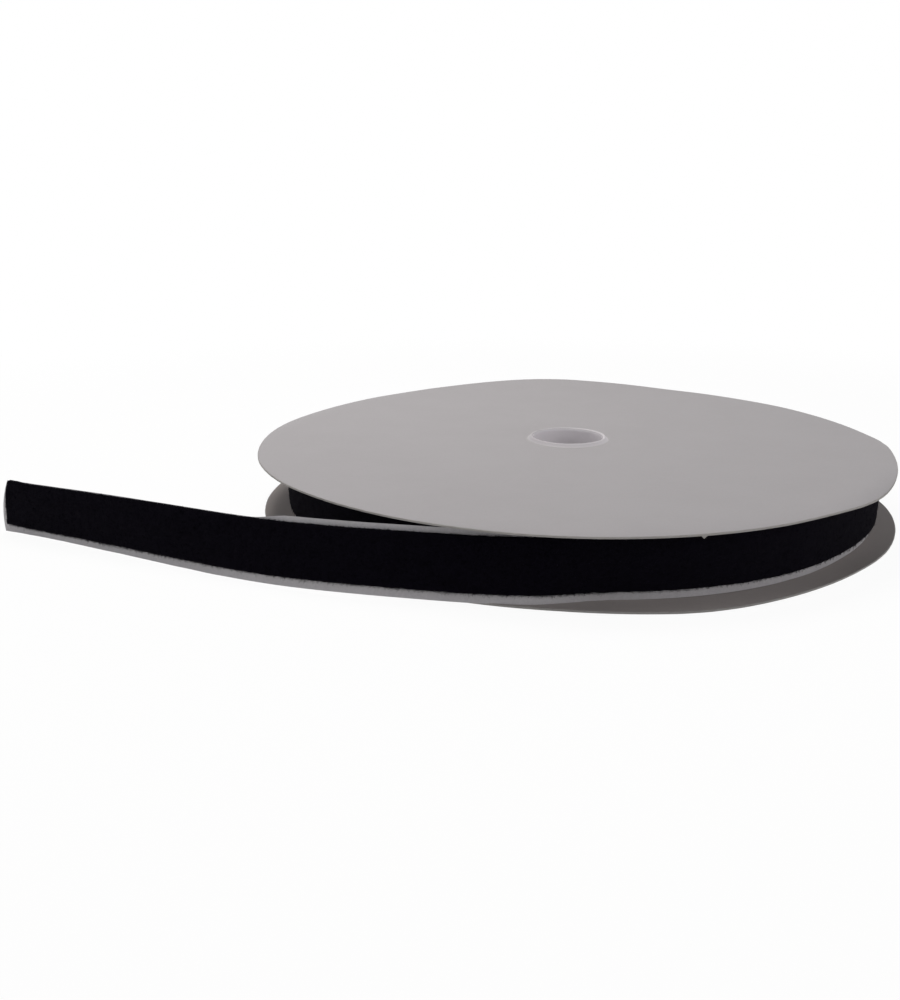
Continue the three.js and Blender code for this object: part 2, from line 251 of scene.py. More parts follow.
class Shader:
    """A material with one Principled shader and short ways to add the nodes that drive it."""

    def __init__(self, name, attribute=None):
        self.material = bpy.data.materials.new(name)
        self.material.use_nodes = True
        self.tree = self.material.node_tree
        self.tree.nodes.clear()
        self.output = self.add("ShaderNodeOutputMaterial")
        self.bsdf = self.add("ShaderNodeBsdfPrincipled")
        self.join(self.bsdf.outputs[0], self.output.inputs["Surface"])
        if attribute:
            self.place = self.add("ShaderNodeAttribute", attribute_name=attribute).outputs["Vector"]
        else:
            coordinates = self.add("ShaderNodeTexCoord").outputs["Object"]
            self.place = self.mapped(coordinates, (1 / MM,) * 3)

    def add(self, kind, **settings):
        node = self.tree.nodes.new(kind)
        for name, value in settings.items():
            setattr(node, name, value)
        return node

    def join(self, source, target):
        self.tree.links.new(source, target)

    def mapped(self, source, scale, turn=0.0):
        node = self.add("ShaderNodeMapping")
        node.inputs["Scale"].default_value = scale
        node.inputs["Rotation"].default_value = (0, 0, turn)
        self.join(source, node.inputs["Vector"])
        return node.outputs[0]

    def noise(self, per_mm, detail=3.0, rough=0.55, stretch=(1, 1, 1), turn=0.0):
        node = self.add("ShaderNodeTexNoise")
        node.inputs["Scale"].default_value = per_mm
        node.inputs["Detail"].default_value = detail
        node.inputs["Roughness"].default_value = rough
        self.join(self.mapped(self.place, stretch, turn), node.inputs["Vector"])
        return node.outputs["Fac"]

    def cells(self, per_mm, stretch=(1, 1, 1)):
        node = self.add("ShaderNodeTexVoronoi")
        node.inputs["Scale"].default_value = per_mm
        self.join(self.mapped(self.place, stretch), node.inputs["Vector"])
        return node.outputs["Distance"]

    def from_axis(self, low, high):
        """0 at the low distance from the spool's axis and 1 at the high one."""
        length = self.add("ShaderNodeVectorMath", operation="LENGTH")
        self.join(self.mapped(self.place, (1, 1, 0)), length.inputs[0])
        return self.ranged(length.outputs["Value"], (low, high))

    def across(self, low, high):
        """0 at the low x and 1 at the high one."""
        parts = self.add("ShaderNodeSeparateXYZ")
        self.join(self.place, parts.inputs[0])
        return self.ranged(parts.outputs["X"], (low, high))

    def ranged(self, source, start=(0.0, 1.0), end=(0.0, 1.0)):
        """The start range of a value carried over to the end range."""
        node = self.add("ShaderNodeMapRange")
        for name, value in zip(("From Min", "From Max", "To Min", "To Max"), start + end):
            node.inputs[name].default_value = value
        self.join(source, node.inputs["Value"])
        return node.outputs[0]

    def sum(self, first, second, share):
        """The first value with this share of the second added."""
        node = self.add("ShaderNodeMath", operation="MULTIPLY_ADD")
        self.join(second, node.inputs[0])
        node.inputs[1].default_value = share
        self.join(first, node.inputs[2])
        return node.outputs[0]

    def ramp(self, source, *stops):
        node = self.add("ShaderNodeValToRGB")
        elements = node.color_ramp.elements
        while len(elements) < len(stops):
            elements.new(0.5)
        for element, (place, colour) in zip(elements, stops):
            element.position = place
            element.color = (*colour, 1)
        self.join(source, node.inputs["Fac"])
        return node.outputs["Color"]

    def mixed(self, share, first, second):
        node = self.add("ShaderNodeMix", data_type="RGBA")
        for source, socket in zip((share, first, second), MIX_INPUTS):
            self.join(source, node.inputs[socket])
        return node.outputs[MIX_OUTPUT]

    def colour(self, source, *stops):
        self.join(self.ramp(source, *stops), self.bsdf.inputs["Base Color"])

    def rough(self, source, low, high):
        self.join(self.ranged(source, end=(low, high)), self.bsdf.inputs["Roughness"])

    def bump(self, *layers):
        """Each layer is a height, its depth in millimetres and its strength."""
        normal = None
        for height, depth, strength in layers:
            node = self.add("ShaderNodeBump")
            node.inputs["Distance"].default_value = depth * MM
            node.inputs["Strength"].default_value = strength
            self.join(height, node.inputs["Height"])
            if normal:
                self.join(normal, node.inputs["Normal"])
            normal = node.outputs[0]
        self.join(normal, self.bsdf.inputs["Normal"])

    def shine(self, level):
        self.bsdf.inputs["Specular IOR Level"].default_value = level


CARD_TONES = (
    (0.6, (0.385, 0.366, 0.371)),
    (0.95, (0.407, 0.387, 0.393)),
    (1.0, (0.414, 0.395, 0.401)),
)


def card_material(name, tint):
    shader = Shader(name)
    mottle = shader.noise(0.035, detail=5, rough=0.6)
    felt = shader.noise(1.1, detail=6, rough=0.7)
    hairs = shader.noise(0.9, detail=4, rough=0.6, stretch=(0.35, 2.2, 1), turn=0.5)
    tone = shader.sum(shader.sum(felt, mottle, 0.5), hairs, 0.4)
    # The tint scales the tones; for the lower flange it darkens and browns them as painted shade
    shader.colour(tone, *[(place, tuple(tint * np.array(colour))) for place, colour in CARD_TONES])
    shader.rough(felt, 0.62, 0.8)
    shader.bump((felt, 0.05, 0.35), (hairs, 0.05, 0.25), (mottle, 0.4, 0.12))
    shader.shine(0.3)
    return shader.material


def card_edge_material():
    shader = Shader("flange_card_edge")
    plies = shader.noise(2.4, detail=3, rough=0.6, stretch=(0.12, 0.12, 2.6))
    fibres = shader.noise(3.0, detail=5, rough=0.7)
    shader.colour(
        shader.sum(plies, fibres, 0.4),
        (0.5, (0.30, 0.285, 0.27)),
        (0.7, (0.385, 0.37, 0.355)),
        (0.95, (0.45, 0.44, 0.425)),
    )
    shader.rough(fibres, 0.8, 0.95)
    shader.bump((plies, 0.12, 0.5), (fibres, 0.08, 0.4))
    shader.shine(0.2)
    return shader.material


# Where the hub's tone goes over from the bore's to the collar's, and to its brim's, out from the bore
COLLAR_TONE_SPAN = (0.1, 0.45)
BRIM_TONE_SPAN = (2.1, 3.0)


def plastic_material():
    """Milky plastic with painted light and shade. The first two tones are the bore's, the others the
    collar's.
    The collar's thin brim has the card's tone, because the photo shows no edge there."""
    shader = Shader("hub_plastic")
    cloud = shader.noise(0.12, detail=3)
    grain = shader.noise(5.0, detail=3, rough=0.6)
    # side runs from the hub's left to its right; the tones along it are painted light and shade
    side = shader.across(-COLLAR_RADIUS, 3 * COLLAR_RADIUS)
    collar = shader.from_axis(*[BORE_RADIUS + out for out in COLLAR_TONE_SPAN])
    brim = shader.from_axis(*[BORE_RADIUS + out for out in BRIM_TONE_SPAN])
    # Painted light: the bore lighter than the collar, most on its left; painted shade on the collar's left
    # side
    painted_light_tone = shader.ramp(
        shader.sum(shader.sum(side, collar, 0.5), cloud, 0.03),
        (0.05, (0.86, 0.83, 0.855)),
        (0.45, (0.69, 0.662, 0.686)),
        (0.55, (0.50, 0.48, 0.497)),
        (0.95, (0.66, 0.634, 0.656)),
    )
    brim_tone = shader.ramp(cloud, (0.3, (0.386, 0.372, 0.379)), (0.7, (0.404, 0.390, 0.397)))
    shader.join(shader.mixed(brim, painted_light_tone, brim_tone), shader.bsdf.inputs["Base Color"])
    shader.rough(grain, 0.5, 0.62)
    shader.bump((grain, 0.012, 0.3), (cloud, 0.1, 0.2))
    shader.shine(0.35)
    return shader.material


def pile_material():
    shader = Shader("loop_pile", STRIP)
    curls = shader.cells(2.4)
    fluff = shader.noise(2.2, detail=6, rough=0.75)
    brushed = shader.noise(0.12, detail=4, rough=0.6, stretch=(0.5, 1.4, 1))
    tone = shader.sum(shader.sum(fluff, curls, 0.5), brushed, 0.4)
    shader.colour(
        tone,
        (0.45, (0.0008, 0.0006, 0.0014)),
        (0.85, (0.0020, 0.0014, 0.0034)),
        (1.0, (0.0034, 0.0026, 0.0056)),
    )
    shader.rough(fluff, 0.9, 1.0)
    shader.bump((curls, 0.25, 0.6), (fluff, 0.3, 0.7))
    shader.shine(0.012)
    shader.bsdf.inputs["Sheen Weight"].default_value = 0.02
    shader.bsdf.inputs["Sheen Roughness"].default_value = 0.6
    return shader.material


def fibre_material():
    shader = Shader("loop_fibre", STRIP)
    tint = shader.noise(0.7, detail=3, rough=0.7)
    shader.colour(tint, (0.3, (0.0010, 0.0008, 0.0018)), (0.75, (0.0036, 0.0027, 0.0056)))
    shader.rough(tint, 0.7, 0.9)
    shader.shine(0.02)
    return shader.material


def ground_material():
    """Knitted ground of the tape, which shows at its edges and its cut end."""
    shader = Shader("tape_ground", STRIP)
    knit = shader.noise(1.6, detail=2, stretch=(2.4, 0.6, 2.4))
    fluff = shader.noise(4.0, detail=4, rough=0.7)
    shader.colour(
        shader.sum(knit, fluff, 0.4),
        (0.45, (0.0016, 0.0013, 0.0026)),
        (0.95, (0.0075, 0.0062, 0.0105)),
    )
    shader.rough(fluff, 0.85, 1.0)
    shader.bump((knit, 0.2, 0.7), (fluff, 0.1, 0.5))
    shader.shine(0.05)
    return shader.material


def adhesive_material():
    shader = Shader("tape_adhesive", STRIP)
    drag = shader.noise(0.5, detail=4, rough=0.6, stretch=(0.15, 1.6, 1))
    specks = shader.noise(3.0, detail=3, rough=0.6)
    shader.colour(
        shader.sum(drag, specks, 0.3),
        (0.45, (0.020, 0.018, 0.017)),
        (0.95, (0.060, 0.055, 0.048)),
    )
    shader.rough(drag, 0.16, 0.34)
    shader.bump((drag, 0.06, 0.5), (specks, 0.03, 0.3))
    shader.shine(0.5)
    return shader.material


def liner_material():
    shader = Shader("liner_paper", STRIP)
    streaks = shader.noise(0.55, detail=4, rough=0.6, stretch=(0.9, 0.12, 1), turn=math.radians(62))
    pulp = shader.noise(1.6, detail=5, rough=0.65)
    cloud = shader.noise(0.05, detail=3, stretch=(0.6, 1, 1))
    tone = shader.sum(shader.sum(pulp, streaks, 0.4), cloud, 0.5)
    shader.colour(
        tone,
        (0.6, (0.424, 0.410, 0.424)),
        (0.95, (0.468, 0.454, 0.468)),
        (1.0, (0.497, 0.483, 0.497)),
    )
    shader.rough(pulp, 0.42, 0.58)
    shader.bump((streaks, 0.08, 0.25), (pulp, 0.03, 0.3))
    shader.shine(0.35)
    return shader.material


def board_material():
    shader = Shader("core_board")
    wraps = shader.noise(0.5, detail=4, rough=0.6, stretch=(0.3, 0.3, 1.6))
    pulp = shader.noise(2.0, detail=5, rough=0.7)
    shader.colour(
        shader.sum(wraps, pulp, 0.4),
        (0.45, (0.27, 0.205, 0.13)),
        (0.95, (0.45, 0.365, 0.25)),
    )
    shader.rough(pulp, 0.8, 0.95)
    shader.bump((wraps, 0.15, 0.4), (pulp, 0.05, 0.4))
    shader.shine(0.25)
    return shader.material


# Tints of the two flanges' card: the lower one's darker, browner tint is painted shade from the upper flange
UPPER_TINT = (1.012, 1.026, 1.036)
LOWER_SHADE_TINT = (0.87, 0.83, 0.79)

UPPER_CARD = card_material("upper_flange_card", UPPER_TINT)
# The lower flange's card is the same card, darkened as painted shade
LOWER_CARD_SHADED = card_material("lower_flange_card_painted_shade", LOWER_SHADE_TINT)
CARD_EDGE = card_edge_material()
PLASTIC = plastic_material()
PILE = pile_material()
FIBRE = fibre_material()
GROUND = ground_material()
ADHESIVE = adhesive_material()
LINER = liner_material()
BOARD = board_material()


# Meshes
BAKE_MAP = "OFBake"
MAP_MARGIN = 0.004
CAP_SHARE = 0.9
SECOND_CAP = 0.5

# Edges that turn by more than this are shaded as edges
PILE_SHARP = math.radians(60)
STRIP_SHARP = math.radians(40)
PLASTIC_SHARP = math.radians(38)
CARD_SHARP = math.radians(35)


def add_piece(name, points, faces, materials, face_materials=None, corner_map=None, strip=None, sharp=None):
    """A smooth-shaded mesh object from points in millimetres."""
    mesh = bpy.data.meshes.new(name)
    mesh.from_pydata((np.asarray(points) * MM).tolist(), [], faces)
    for material in materials:
        mesh.materials.append(material)
    if face_materials is not None:
        mesh.polygons.foreach_set("material_index", np.asarray(face_materials, np.int32))
    mesh.polygons.foreach_set("use_smooth", np.ones(len(mesh.polygons), bool))
    if corner_map is not None:
        layer = mesh.uv_layers.new(name=BAKE_MAP)
        layer.data.foreach_set("uv", np.asarray(corner_map, np.float32).ravel())
    if strip is not None:
        attribute = mesh.attributes.new(STRIP, "FLOAT_VECTOR", "POINT")
        attribute.data.foreach_set("vector", np.asarray(strip, np.float32).ravel())
    if sharp is not None:
        mesh.set_sharp_from_angle(angle=sharp)
    mesh.update()
    piece = bpy.data.objects.new(name, mesh)
    bpy.context.scene.collection.objects.link(piece)
    return piece


def ring_faces(sections, corners, closed_round):
    """Quads between neighbouring sections of a closed outline."""
    rows = np.arange(sections if closed_round else sections - 1)[:, None]
    here = np.arange(corners)[None, :]
    after = (here + 1) % corners
    base, next_base = rows * corners, (rows + 1) % sections * corners
    quads = [base + here, base + after, next_base + after, next_base + here]
    return np.stack(np.broadcast_arrays(*quads), axis=-1).reshape(-1, 4)


def folded_map(sections, outline, length):
    """A map for the quads of ring_faces, the strip cut into rows one above the other, and the rows' top."""
    steps = sections - 1
    edges = np.linalg.norm(np.diff(np.vstack([outline, outline[:1]]), axis=0), axis=1)
    around = np.concatenate([[0], np.cumsum(edges)]) / edges.sum()
    rows = max(1, round(math.sqrt(length / edges.sum())))
    per_row = math.ceil(steps / rows)
    step = np.arange(steps)
    row = step // per_row
    left = (step - row * per_row) / per_row
    right = left + 1 / per_row
    share = 1 / (rows + 1)

    def across(value):
        return MAP_MARGIN + value * (1 - 2 * MAP_MARGIN)

    def upward(value):
        return (row[:, None] + MAP_MARGIN + value[None, :] * (1 - 2 * MAP_MARGIN)) * share

    low, high = upward(around[:-1]), upward(around[1:])
    left, right = across(left)[:, None], across(right)[:, None]
    corners = [(left, low), (left, high), (right, high), (right, low)]
    corner_map = np.stack([np.stack(np.broadcast_arrays(*corner), axis=-1) for corner in corners], axis=2)
    return corner_map.reshape(-1, 2), 1 - share


def sweep(name, along, heights, depths, outline, materials, outline_materials, sharp=None, bow=TAPE_BOW):
    """A closed strip through sections given by along, height and depth, with both its ends capped."""
    sections, corners = heights.shape
    alongs = np.broadcast_to(along[:, None], heights.shape)
    points = strip_point(alongs, heights, depths, bow).reshape(-1, 3)
    strip = np.stack([alongs, heights, depths], axis=-1).reshape(-1, 3)
    quads = ring_faces(sections, corners, False)
    last = (sections - 1) * corners
    first_cap = list(range(corners))[::-1]
    last_cap = [last + k for k in range(corners)]
    faces = quads.tolist() + [first_cap, last_cap]
    sides_map, top = folded_map(sections, outline, abs(along[-1] - along[0]))
    span = outline.max(0) - outline.min(0)
    cap = (outline - outline.min(0)) / span.max() * (1 - top) * CAP_SHARE
    cap_maps = [cap[::-1] + (MAP_MARGIN, top + MAP_MARGIN), cap + (SECOND_CAP, top + MAP_MARGIN)]
    corner_map = np.vstack([sides_map, *cap_maps])
    face_materials = np.concatenate([np.tile(outline_materials, sections - 1), [outline_materials[0]] * 2])
    return add_piece(name, points, faces, materials, face_materials, corner_map, strip, sharp)


# Tape: a crowned pad of pile on a knitted ground, with the adhesive on its back
PAD_STEP = 0.6
FRONT_POINTS = 31
PILE_ROUND = 0.75
PILE_SINK = 0.5
ROUND_POINTS = 5
SIDE_DEPTHS = (0.8, 1.1)
TACK_GAP = 0.04
BACK_DEPTH = LINER_DEPTH - TACK_GAP
BACK_POINTS = 7
# Layers of noise for the pile's nubs, which are sunk a little into the tape, and for the wander of its edges.
# The two edges take their noise from places well apart, and it moves this many points about each of them.
NUBS = ((0.085, 0.95, 1), (0.07, 2.1, 2), (0.05, 9, 3))
NUB_SINK = 0.06
EDGE_WANDER = ((0.10, 2.4, 4), (0.07, 0.9, 5))
TAPE_EDGES_APART = 50
EDGE_REACH = 3


def pad_outline():
    """Height and depth points of the tape's section, from its lower back edge round by the pile."""
    turn = np.linspace(0, math.pi / 2, ROUND_POINTS)
    corner = np.stack([PILE_ROUND * (1 - np.cos(turn)), PILE_SINK * (1 - np.sin(turn))], axis=-1)
    low_corner = corner + (TAPE_LOW, 0)
    high_corner = (corner * (-1, 1) + (TAPE_HIGH, 0))[::-1]
    middle = np.linspace(TAPE_LOW + PILE_ROUND, TAPE_HIGH - PILE_ROUND, FRONT_POINTS)[1:-1]
    front = np.stack([middle, np.zeros_like(middle)], axis=-1)
    low_side = [(TAPE_LOW, depth) for depth in SIDE_DEPTHS[::-1]]
    high_side = [(TAPE_HIGH, depth) for depth in SIDE_DEPTHS]
    back = [(h, BACK_DEPTH) for h in np.linspace(TAPE_HIGH, TAPE_LOW, BACK_POINTS)]
    outline = np.vstack([[back[-1]], low_side, low_corner, front, high_corner, high_side, back[:-1]])
    front_start = 1 + len(low_side)
    front_end = front_start + 2 * len(corner) + len(front)
    return outline, front_start, front_end


def tape_pad(name, start, end):
    outline, first, last = pad_outline()
    corners = len(outline)
    along = np.linspace(start, end, math.ceil((end - start) / PAD_STEP) + 1)
    heights = np.tile(outline[:, 0], (len(along), 1))
    depths = np.tile(outline[:, 1], (len(along), 1))
    column = along[:, None]
    pile = np.zeros(corners)
    pile[first:last] = 1
    depths = depths + pile * (layered(column, heights, NUBS) + NUB_SINK)
    edge = np.zeros(corners)
    edge[:first + EDGE_REACH] = -1
    edge[last - EDGE_REACH:last + EDGE_REACH] = 1
    edge[-1] = edge[0]
    wander = layered(column, edge * TAPE_EDGES_APART, EDGE_WANDER)
    heights = heights + edge * wander + askew(column)
    materials = [PILE, GROUND, ADHESIVE]
    outline_materials = np.full(corners, materials.index(GROUND))
    outline_materials[first:last - 1] = materials.index(PILE)
    outline_materials[last + len(SIDE_DEPTHS):] = materials.index(ADHESIVE)
    return sweep(name, along, heights, depths, outline, materials, outline_materials, PILE_SHARP)


# Fibres: small loops that stand in the pile, and fuzz that leans out past its edges and its cut end.
# A pair of numbers holds the least and the most of a spread.
FACE_FIBRES = 4200
TURN_FUZZ, TAIL_FUZZ = 7000, 4600
END_FIBRES = 120
FIBRE_RINGS = 5
FIBRE_SIDES = 3
FIBRE_INSET = 0.8
FIBRE_SPAN = (0.5, 1.2)
FIBRE_SWAY = 0.15
FIBRE_LIFT = 0.12
FACE_INSET = 0.4
FACE_DEPTH = 0.12
FACE_RISE = (0.16, 0.36)
FACE_THICKNESS = (0.032, 0.052)
EDGE_INSET = (0.02, 0.4)
EDGE_DEPTH = (0.3, 0.8)
EDGE_RISE = (0.02, 0.3)
EDGE_THICKNESS = (0.022, 0.040)
EDGE_SWAY = 0.5
FUZZ_SHAPE = 2.2
UPPER_FUZZ, LOWER_FUZZ = 0.09, 0.2
END_INSET = (-0.1, 0.3)
END_DEPTH = (0.2, 1.0)
END_RISE = (0, 0.25)
END_FUZZ_SHAPE, END_FUZZ = 2.0, 0.16


def scattered(start, end, seed, on_face, on_edges, on_end):
    """Where the fibres stand, how they lie and lean, and their radii, as columns."""
    random = np.random.default_rng(seed)
    count = on_face + on_edges + on_end
    along = random.uniform(start + FIBRE_INSET, end - FIBRE_INSET, count)
    height = random.uniform(TAPE_LOW + FACE_INSET, TAPE_HIGH - FACE_INSET, count)
    depth = np.full(count, FACE_DEPTH)
    heading = random.uniform(0, 2 * math.pi, count)
    span = random.uniform(*FIBRE_SPAN, count)
    rise = random.uniform(*FACE_RISE, count)
    lean_along = random.normal(0, FIBRE_SWAY, count)
    lean_up = random.normal(0, FIBRE_SWAY, count)
    at_edge = slice(on_face, on_face + on_edges)
    side = random.choice([-1.0, 1.0], on_edges)
    height[at_edge] = np.where(side > 0, TAPE_HIGH, TAPE_LOW) - side * random.uniform(*EDGE_INSET, on_edges)
    depth[at_edge] = random.uniform(*EDGE_DEPTH, on_edges)
    heading[at_edge] = random.normal(0, EDGE_SWAY, on_edges)
    rise[at_edge] = random.uniform(*EDGE_RISE, on_edges)
    lean_up[at_edge] = side * random.gamma(FUZZ_SHAPE, np.where(side > 0, UPPER_FUZZ, LOWER_FUZZ))
    at_end = slice(on_face + on_edges, count)
    along[at_end] = end - random.uniform(*END_INSET, on_end)
    depth[at_end] = random.uniform(*END_DEPTH, on_end)
    lean_along[at_end] = random.gamma(END_FUZZ_SHAPE, END_FUZZ, on_end)
    rise[at_end] = random.uniform(*END_RISE, on_end)
    radius = random.uniform(*FACE_THICKNESS, count)
    radius[at_edge] = random.uniform(*EDGE_THICKNESS, on_edges)
    columns = (along, height, depth, heading, span, rise, lean_along, lean_up, radius)
    return [column[:, None] for column in columns]


def fibres(name, start, end, seed, on_face=0, on_edges=0, on_end=0):
    columns = scattered(start, end, seed, on_face, on_edges, on_end)
    along, height, depth, heading, span, rise, lean_along, lean_up, radius = columns
    count = len(along)
    t = np.linspace(0, 1, FIBRE_RINGS)[None, :]
    bow = np.sin(math.pi * t)
    run = span * (t - 0.5)
    centre = np.stack([
        along + run * np.cos(heading) + lean_along * bow,
        height + run * np.sin(heading) + lean_up * bow,
        depth - rise * bow - FIBRE_LIFT * bow,
    ], axis=-1)
    ahead = np.gradient(centre, axis=1)
    ahead /= np.linalg.norm(ahead, axis=-1, keepdims=True)
    across = np.stack([-np.sin(heading), np.cos(heading), np.zeros_like(heading)], axis=-1)
    across = across - ahead * (across * ahead).sum(-1, keepdims=True)
    across /= np.linalg.norm(across, axis=-1, keepdims=True)
    over = np.cross(ahead, across)
    spin = np.arange(FIBRE_SIDES) * 2 * math.pi / FIBRE_SIDES
    ring = across[:, :, None, :] * np.cos(spin)[:, None] + over[:, :, None, :] * np.sin(spin)[:, None]
    strip = (centre[:, :, None, :] + ring * radius[:, :, None, None]).reshape(-1, 3)
    points = strip_point(strip[:, 0], strip[:, 1] + askew(strip[:, 0]), strip[:, 2])

    quads = ring_faces(FIBRE_RINGS, FIBRE_SIDES, False)
    per_fibre = FIBRE_RINGS * FIBRE_SIDES
    base = np.arange(count)[:, None] * per_fibre
    sides = (base[:, :, None] + quads).reshape(-1, 4)
    first_cap = base + np.arange(FIBRE_SIDES)[::-1]
    last_cap = base + per_fibre - FIBRE_SIDES + np.arange(FIBRE_SIDES)
    faces = sides.tolist() + first_cap.tolist() + last_cap.tolist()
    return add_piece(name, points, faces, [FIBRE], None, fibre_map(count, quads), strip)


# Layout of a fibre in its cell of the map, as shares of the cell
CELL_MARGIN = 0.1
SIDES_LAID = (0.8, 0.6)
CAP_LAID = ((0.0, 0.0), (0.12, 0.0), (0.0, 0.12))
CAP_PLACES = ((0.1, 0.8), (0.6, 0.8))


def fibre_map(count, quads):
    """Each fibre is laid out flat in a cell of its own, its caps in the cell's upper corners."""
    cells = math.ceil(math.sqrt(count))
    fibre = np.arange(count)
    cell = np.stack([fibre % cells, fibre // cells], axis=-1)[:, None, :]
    ring = quads // FIBRE_SIDES / (FIBRE_RINGS - 1)
    side = (np.arange(len(quads))[:, None] % FIBRE_SIDES + np.array([0, 1, 1, 0])) / FIBRE_SIDES
    flat = CELL_MARGIN + np.stack([ring, side], axis=-1) * SIDES_LAID
    parts = [flat.reshape(-1, 2)] + [np.array(CAP_LAID) + place for place in CAP_PLACES]
    return np.vstack([(cell + part).reshape(-1, 2) for part in parts]) / cells


# Release liner: a thin strip whose bare margins ripple a little
LINER_STEP = 2.0
LINER_POINTS = 15
RIPPLE = 0.16
RIPPLE_LAYERS = ((1.0, 14, 6), (0.5, 5, 7))
RIPPLES_APART = 90
SHAVE = ((0.08, 18, 8),)
LINER_EDGES_APART = 40
TAB_STEP = 1.0
TRIM_LENGTH = 60.0
TRIM_SHARE = 0.18
NARROW_START, NARROW_END = 120.0, 137.0
NARROW_SHARE = 0.75


def trimmed(along, heights):
    """Heights with the upper margin narrowed along the free end, where the photo shows a hairline of it."""
    share = 1 - TRIM_SHARE * smooth_step(along, 0, TRIM_LENGTH)
    share = share - NARROW_SHARE * smooth_step(along, NARROW_START, NARROW_END)
    return np.where(heights > TAPE_HIGH, TAPE_HIGH + (heights - TAPE_HIGH) * share, heights)


def liner_strip(name, start, end, step=LINER_STEP):
    across = np.linspace(-LINER_WIDTH / 2, LINER_WIDTH / 2, LINER_POINTS)
    front = np.stack([across, np.full(LINER_POINTS, LINER_DEPTH)], axis=-1)
    back = np.stack([across[::-1], np.full(LINER_POINTS, LINER_BACK)], axis=-1)
    outline = np.vstack([front, back])
    along = np.linspace(start, end, math.ceil((end - start) / step) + 1)
    heights = np.tile(outline[:, 0], (len(along), 1))
    depths = np.tile(outline[:, 1], (len(along), 1))
    column = along[:, None]
    below = np.clip((TAPE_LOW - heights) / LINER_LOWER_MARGIN, 0, 1)
    above = np.clip((heights - TAPE_HIGH) / LINER_UPPER_MARGIN, 0, 1)
    ripple = RIPPLE * layered(column, np.sign(heights) * RIPPLES_APART, RIPPLE_LAYERS)
    depths = depths + (below + above) * ripple
    edge = np.isclose(np.abs(outline[:, 0]), LINER_WIDTH / 2) * np.sign(outline[:, 0])
    shaved = np.abs(layered(column, edge * LINER_EDGES_APART, SHAVE))
    heights = trimmed(column, heights - edge * shaved)
    kinds = np.zeros(len(outline), int)
    return sweep(name, along, heights, depths, outline, [LINER], kinds, STRIP_SHARP, LINER_BOW)


# Turned pieces
def turned(name, outline, steps, materials, outline_materials, shape=None, sharp=None):
    """A ring from radius and height points that run round anticlockwise, with shape to move its points."""
    corners = len(outline)
    angle = np.arange(steps) * 2 * math.pi / steps
    radius = np.tile(outline[:, 0], (steps, 1))
    height = np.tile(outline[:, 1], (steps, 1))
    if shape:
        radius, height = shape(radius, height, angle[:, None])
    points = np.stack([radius * np.cos(angle)[:, None], radius * np.sin(angle)[:, None], height], axis=-1)
    faces = ring_faces(steps, corners, True)[:, ::-1].tolist()
    face_materials = np.tile(outline_materials, steps)
    return add_piece(name, points.reshape(-1, 3), faces, materials, face_materials, sharp=sharp)


# Flanges: rings of points out from the hole, closer together near the rim, where the card bends most, and the
# levels of its cut edge with how far it stands in at each
FLANGE_STEPS = 420
FLANGE_RINGS = (
    0.25, 1.0, 3, 8, 18, 32, 48, 62, 74, 84, 92, 99, 104, 108, 111.5, 114.5, 117, 119, 120.4, 121.3, 121.9,
)
RIM_LEVELS = (0.06, 0.14, 0.3, 0.5, 0.7, 0.86, 0.94)
RIM_IN = (0.10, 0.03, 0.0, 0.02, -0.01, 0.03, 0.11)
HOLE_LEVELS = (0.85, 0.5, 0.15)
HOLE_BREAK = 0.06
RIM_INSET = 0.2
CUT_BAND = 0.3


def flange_outline(base):
    """Radius and height points of the card's section, and which of its two materials each stretch has."""
    rings = [HOLE_RADIUS + out for out in (HOLE_BREAK, *FLANGE_RINGS)] + [FLANGE_RADIUS - RIM_INSET]
    lower = [(ring, base) for ring in rings]
    levels = zip(RIM_LEVELS, RIM_IN)
    edge = [(FLANGE_RADIUS - inset, base + FLANGE_THICKNESS * level) for level, inset in levels]
    upper = [(ring, base + FLANGE_THICKNESS) for ring in rings[::-1]]
    hole = [(HOLE_RADIUS, base + FLANGE_THICKNESS * level) for level in HOLE_LEVELS]
    outline = np.array(lower + edge + upper + hole)
    kinds = np.zeros(len(outline), int)
    kinds[len(lower) - 1:len(lower) + len(edge)] = 1
    kinds[len(outline) - len(hole) - 1:] = 1
    return outline, kinds


# The card's warp: bumps that lift it from well inside, bumps that let only its rim droop, past the roll, and
# a wave of the rim. The cut edge is rough, and the lower flange's rim is cut off the centre of its hole.
LIFT_START, DROOP_START = 62.0, 129.0
UPPER_LIFTS = ((3.2, 95, 21),)
UPPER_DROOPS = ((1.3, 155, 20), (1.4, 195, 22), (0.75, -76, 40), (2.3, -30, 13), (-1.0, 0, 8))
LOWER_LIFTS = ((0.5, -92, 14), (0.4, 60, 40), (0.7, -8, 14))
LOWER_DROOPS = ((1.0, -70, 13), (-0.9, -38, 15))
RIM_WAVE, RIM_WAVE_CELL = 0.12, 23
CUT_ROUGH, CUT_ROUGH_CELL = 0.05, 2.6
CUT_SHY = 0.04
LOWER_OFF_CENTRE = 2.0


